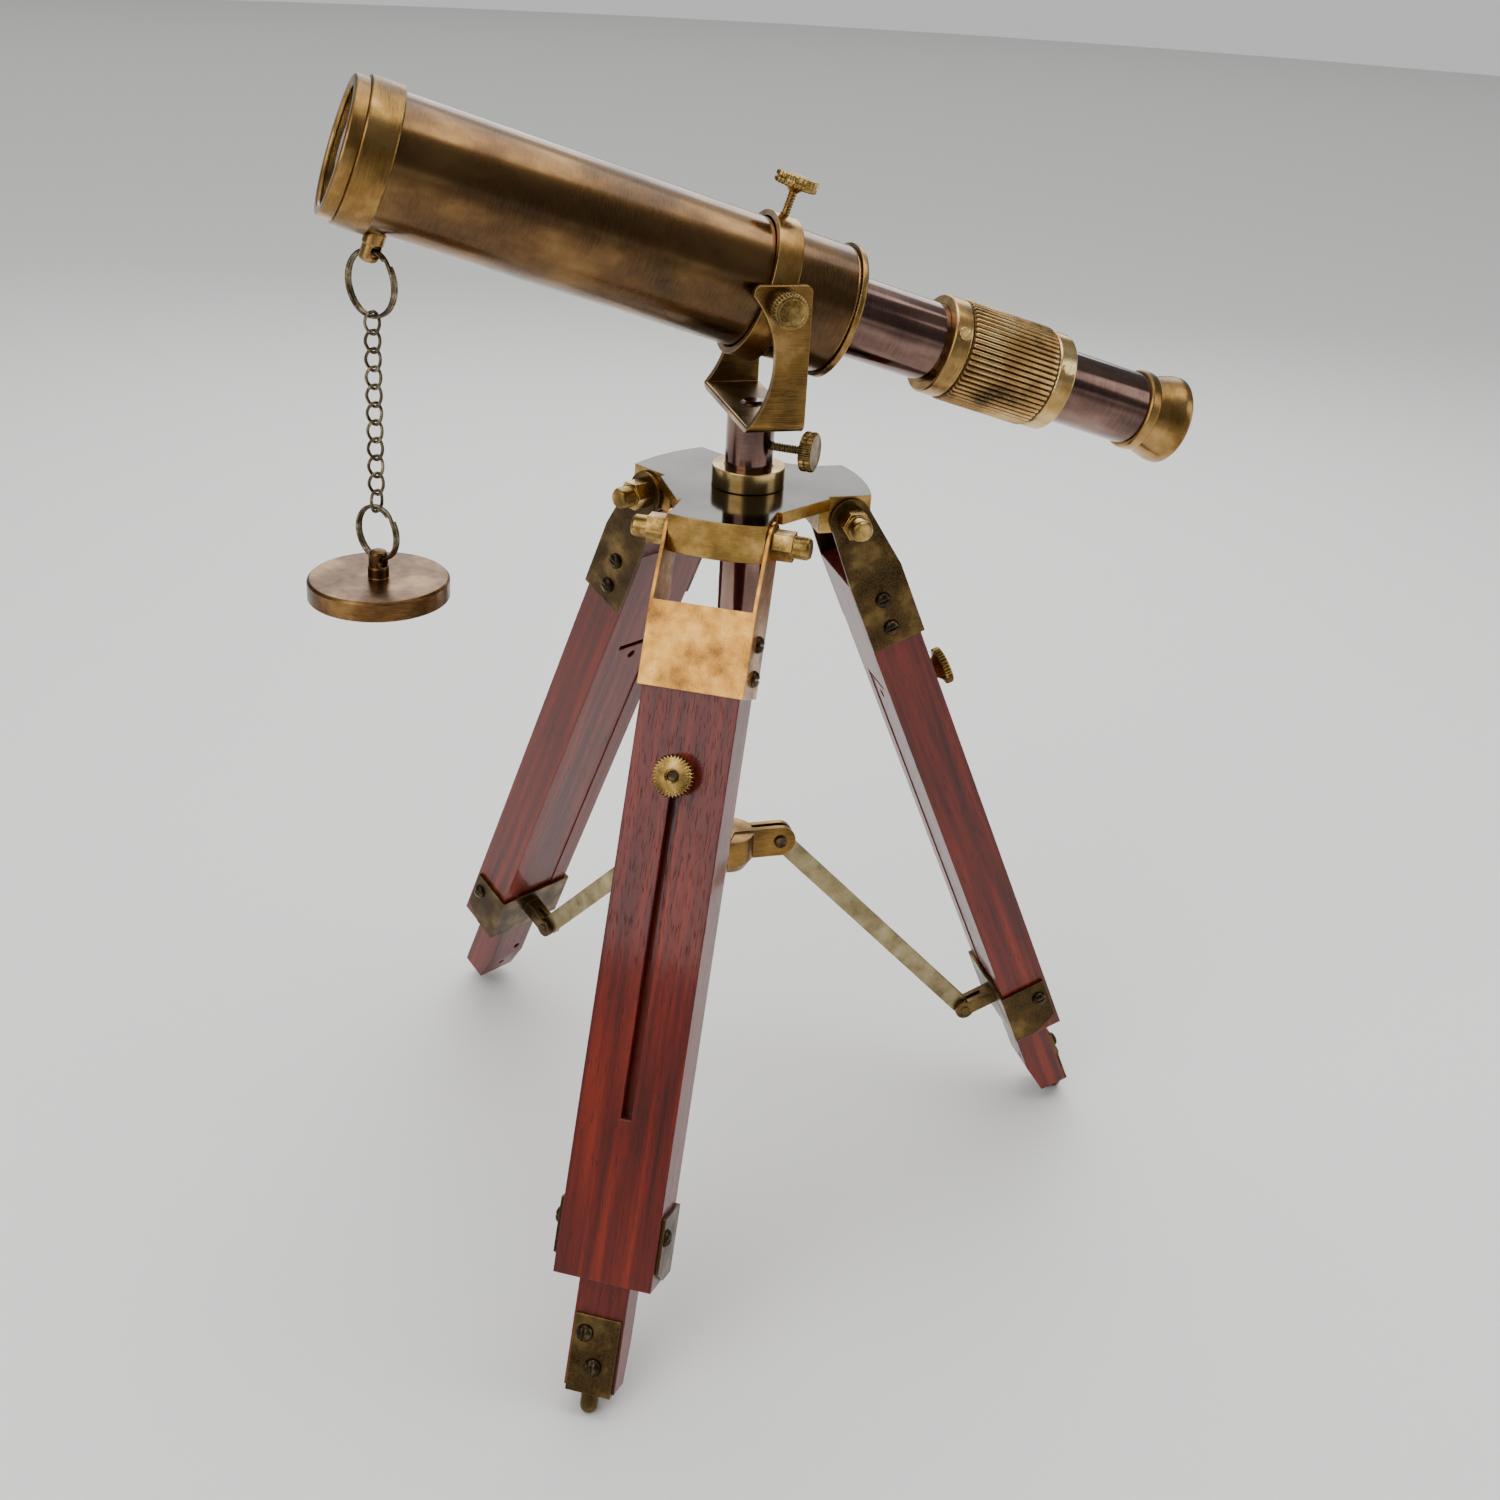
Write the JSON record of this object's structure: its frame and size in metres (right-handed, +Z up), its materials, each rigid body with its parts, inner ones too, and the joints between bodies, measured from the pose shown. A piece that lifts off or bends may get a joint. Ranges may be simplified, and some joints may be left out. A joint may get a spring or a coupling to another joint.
{
  "type": "table-top telescope",
  "caption": "Brass draw-tube telescope with a focusing sleeve and a capped objective, in a tilting cradle on a folding wooden tripod with sliding legs.",
  "frame": {"origin": "the point of the ground under the column's axis, at the height of the three foot tips", "axes": "+Z up along the column, -X the way the telescope points, +Y to the telescope's right; legs at 0, 120 and 240 degrees about +Z"},
  "size_m": [0.2348, 0.2028, 0.3075],
  "materials": {
    "tube_bronze": "antique brown, mottled, satin",
    "collar_brass": "antique brass, satin",
    "draw_brass": "polished, smoked brown",
    "knurl_brass": "ridged, bare brass",
    "plate_brass": "polished, dark",
    "strap_brass": "lacquered, stained gold",
    "aged_brass": "dull, spotted",
    "knob_brass": "turned and knurled",
    "mahogany": "stained red-brown, gloss lacquer, fine open pores",
    "blackened_brass": "blackened",
    "ring_wire": "dull, darkened",
    "optical_glass": "polished"
  },
  "bodies": {
    "tripod_head": {"top_plate": "plate_brass", "column": "draw_brass", "column_collar": "plate_brass", "leg_pivot_bolts": "knob_brass"},
    "column_thumbscrew": {"column_thumbscrew": "knob_brass"},
    "stem": {"yoke_stem": "draw_brass"},
    "yoke": {"yoke": "collar_brass"},
    "cradle": {"cradle_ring": "collar_brass"},
    "near_pivot_thumbscrew": {"near_pivot_thumbscrew": "knob_brass"},
    "far_pivot_thumbscrew": {"far_pivot_thumbscrew": "knob_brass"},
    "clamp_thumbscrew": {"clamp_thumbscrew": "knob_brass"},
    "main_tube": {"main_tube": "tube_bronze", "tube_end_ring": "collar_brass", "objective_collar": "collar_brass", "objective_bezel": "collar_brass", "objective_lens": "optical_glass", "cap_chain_stud": "ring_wire"},
    "upper_ring": {"upper_ring": "ring_wire"},
    "cap_chain": {"cap_chain": "ring_wire"},
    "lens_cap": {"lens_cap": "collar_brass"},
    "draw_tube": {"draw_tube": "draw_brass", "focus_front_collar": "knurl_brass", "focus_rear_collar": "knurl_brass", "focus_collar_screws": "blackened_brass", "erector_cell": "draw_brass", "erector_lens": "optical_glass"},
    "focus_sleeve": {"focus_sleeve": "knurl_brass"},
    "eyepiece": {"eyepiece_tube": "draw_brass", "eyepiece_ring": "collar_brass", "eye_cup": "collar_brass", "eyepiece_lenses": "optical_glass"},
    "spreader_hub": {"spreader_hub": "aged_brass", "hub_pins": "blackened_brass"},
    "right_leg": {"right_outer_leg": "mahogany", "right_leg_strap": "strap_brass", "right_leg_bracket": "aged_brass", "right_leg_screws": "blackened_brass"},
    "right_inner_leg": {"right_inner_leg": "mahogany", "right_foot": "aged_brass", "right_inner_leg_fixings": "blackened_brass"},
    "right_leg_nut": {"right_leg_nut": "knob_brass"},
    "right_brace": {"right_brace": "aged_brass"},
    "left_leg": {"left_outer_leg": "mahogany", "left_leg_strap": "strap_brass", "left_leg_bracket": "aged_brass", "left_leg_screws": "blackened_brass"},
    "left_inner_leg": {"left_inner_leg": "mahogany", "left_foot": "aged_brass", "left_inner_leg_fixings": "blackened_brass"},
    "left_leg_nut": {"left_leg_nut": "knob_brass"},
    "left_brace": {"left_brace": "aged_brass"},
    "front_leg": {"front_outer_leg": "mahogany", "front_leg_strap": "strap_brass", "front_leg_bracket": "aged_brass", "front_leg_screws": "blackened_brass"},
    "front_inner_leg": {"front_inner_leg": "mahogany", "front_foot": "aged_brass", "front_inner_leg_fixings": "blackened_brass"},
    "front_leg_nut": {"front_leg_nut": "knob_brass"},
    "front_brace": {"front_brace": "aged_brass"}
  },
  "joints": [
    {"name": "column_screw_turn", "type": "hinge", "parent": "tripod_head", "child": "column_thumbscrew", "pos_m": [0, 0, 0.2175], "axis": [0.8192, -0.5736, 0], "range_deg": [0, 360]},
    {"name": "stem_slide", "type": "slide", "parent": "tripod_head", "child": "stem", "axis": [0, 0, 1], "range_m": [0, 0.01]},
    {"name": "pan", "type": "hinge", "parent": "stem", "child": "yoke", "pos_m": [0, 0, 0.2263], "axis": [0, 0, 1], "continuous": true},
    {"name": "tilt", "type": "hinge", "parent": "yoke", "child": "cradle", "pos_m": [0, 0, 0.2585], "axis": [0, 1, 0], "range_deg": [-32, 27]},
    {"name": "near_pivot_screw_turn", "type": "hinge", "parent": "cradle", "child": "near_pivot_thumbscrew", "pos_m": [0, 0, 0.2585], "axis": [0, -1, 0], "range_deg": [0, 360]},
    {"name": "far_pivot_screw_turn", "type": "hinge", "parent": "cradle", "child": "far_pivot_thumbscrew", "pos_m": [0, 0, 0.2585], "axis": [0, 1, 0], "range_deg": [0, 360]},
    {"name": "clamp_screw_turn", "type": "hinge", "parent": "cradle", "child": "clamp_thumbscrew", "pos_m": [0, 0, 0.2585], "axis": [0.309, 0, 0.9511], "range_deg": [0, 360]},
    {"name": "tube_slide", "type": "slide", "parent": "cradle", "child": "main_tube", "axis": [-0.9511, 0, 0.309], "range_m": [-0.02, 0.014]},
    {"name": "ring_hang", "type": "hinge", "parent": "main_tube", "child": "upper_ring", "pos_m": [-0.09484, 0, 0.2676], "axis": [0, 1, 0], "range_deg": [-27, 32]},
    {"name": "chain_swing", "type": "hinge", "parent": "upper_ring", "child": "cap_chain", "pos_m": [-0.09484, 0, 0.25121], "axis": [0.6157, -0.788, 0], "range_deg": [-25, 25]},
    {"name": "cap_swing", "type": "hinge", "parent": "cap_chain", "child": "lens_cap", "pos_m": [-0.09484, 0, 0.19004], "axis": [0.6157, -0.788, 0], "range_deg": [-25, 25]},
    {"name": "draw_tube_slide", "type": "slide", "parent": "main_tube", "child": "draw_tube", "axis": [-0.9511, 0, 0.309], "range_m": [-0.025, 0.0275]},
    {"name": "focus_turn", "type": "hinge", "parent": "draw_tube", "child": "focus_sleeve", "pos_m": [0, 0, 0.2585], "axis": [-0.9511, 0, 0.309], "range_deg": [-90, 90]},
    {"name": "eyepiece_slide", "type": "slide", "parent": "draw_tube", "child": "eyepiece", "axis": [-0.9511, 0, 0.309], "range_m": [-0.0041, 0.0041]},
    {"name": "hub_slide", "type": "slide", "parent": "tripod_head", "child": "spreader_hub", "axis": [0, 0, 1], "range_m": [0, 0.01889]},
    {"name": "front_leg_fold", "type": "hinge", "parent": "tripod_head", "child": "front_leg", "pos_m": [-0.01225, -0.02122, 0.2], "axis": [0.866, -0.5, 0], "range_deg": [0, 18]},
    {"name": "front_brace_fold", "type": "hinge", "parent": "spreader_hub", "child": "front_brace", "pos_m": [-0.00745, -0.0129, 0.0996], "axis": [0.866, -0.5, 0], "range_deg": [0, 38.82]},
    {"name": "front_leg_extend", "type": "slide", "parent": "front_leg", "child": "front_inner_leg", "axis": [-0.1994, -0.3453, -0.9171], "range_m": [0, 0.083]},
    {"name": "front_nut_turn", "type": "hinge", "parent": "front_inner_leg", "child": "front_leg_nut", "pos_m": [-0.02755, -0.04772, 0.14843], "axis": [-0.4585, -0.7942, 0.3987], "range_deg": [0, 360]},
    {"name": "left_leg_fold", "type": "hinge", "parent": "tripod_head", "child": "left_leg", "pos_m": [-0.01225, 0.02122, 0.2], "axis": [-0.866, -0.5, 0], "range_deg": [0, 18]},
    {"name": "left_brace_fold", "type": "hinge", "parent": "spreader_hub", "child": "left_brace", "pos_m": [-0.00745, 0.0129, 0.0996], "axis": [-0.866, -0.5, 0], "range_deg": [0, 38.82]},
    {"name": "left_leg_extend", "type": "slide", "parent": "left_leg", "child": "left_inner_leg", "axis": [-0.1994, 0.3453, -0.9171], "range_m": [0, 0.083]},
    {"name": "left_nut_turn", "type": "hinge", "parent": "left_inner_leg", "child": "left_leg_nut", "pos_m": [-0.02755, 0.04772, 0.14843], "axis": [-0.4585, 0.7942, 0.3987], "range_deg": [0, 360]},
    {"name": "right_leg_fold", "type": "hinge", "parent": "tripod_head", "child": "right_leg", "pos_m": [0.0245, 0, 0.2], "axis": [0, 1, 0], "range_deg": [0, 18]},
    {"name": "right_brace_fold", "type": "hinge", "parent": "spreader_hub", "child": "right_brace", "pos_m": [0.0149, 0, 0.0996], "axis": [0, 1, 0], "range_deg": [0, 38.82]},
    {"name": "right_leg_extend", "type": "slide", "parent": "right_leg", "child": "right_inner_leg", "axis": [0.3987, 0, -0.9171], "range_m": [0, 0.083]},
    {"name": "right_nut_turn", "type": "hinge", "parent": "right_inner_leg", "child": "right_leg_nut", "pos_m": [0.0551, 0, 0.14843], "axis": [0.9171, 0, 0.3987], "range_deg": [0, 360]}
  ],
  "couplings": [
    {"joint": "left_leg_fold", "follows": "front_leg_fold", "ratio": 1},
    {"joint": "right_leg_fold", "follows": "front_leg_fold", "ratio": 1},
    {"joint": "hub_slide", "follows": "front_leg_fold", "m_per_rad": 0.0595},
    {"joint": "front_brace_fold", "follows": "front_leg_fold", "ratio": 2.14},
    {"joint": "left_brace_fold", "follows": "front_leg_fold", "ratio": 2.14},
    {"joint": "right_brace_fold", "follows": "front_leg_fold", "ratio": 2.14},
    {"joint": "ring_hang", "follows": "tilt", "ratio": -1},
    {"joint": "eyepiece_slide", "follows": "focus_turn", "m_per_rad": -0.002546}
  ]
}
